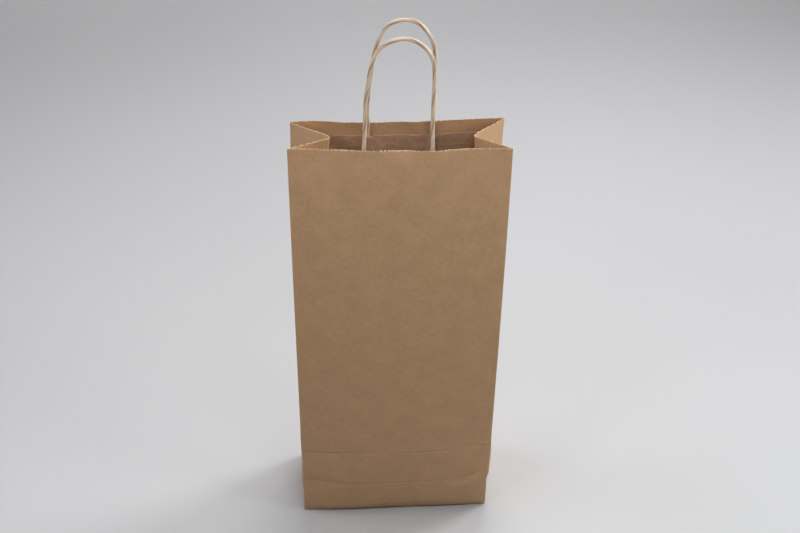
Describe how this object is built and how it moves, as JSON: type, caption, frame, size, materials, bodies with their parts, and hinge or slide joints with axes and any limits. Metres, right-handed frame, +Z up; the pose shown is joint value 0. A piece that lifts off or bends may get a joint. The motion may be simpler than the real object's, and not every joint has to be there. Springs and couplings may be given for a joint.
{
  "type": "paper bottle bag",
  "caption": "Tall open-topped kraft paper bag for bottles, with tucked side gussets, a flat block bottom and upright twisted paper handles glued inside the mouth.",
  "frame": {"origin": "middle of the base, on the surface the bag stands on", "axes": "+Z up out of the mouth, -Y out of the front panel, +X to the right when facing the front panel"},
  "size_m": [0.1832, 0.0939, 0.4818],
  "materials": {
    "kraft": "matte brown kraft paper, finely flecked",
    "cord": "matte twisted kraft paper cord",
    "patch": "matte darker kraft paper"
  },
  "bodies": {
    "root": {"bag": "kraft", "front_handle": "cord", "rear_handle": "cord", "front_patch": "patch", "rear_patch": "patch"}
  },
  "joints": []
}
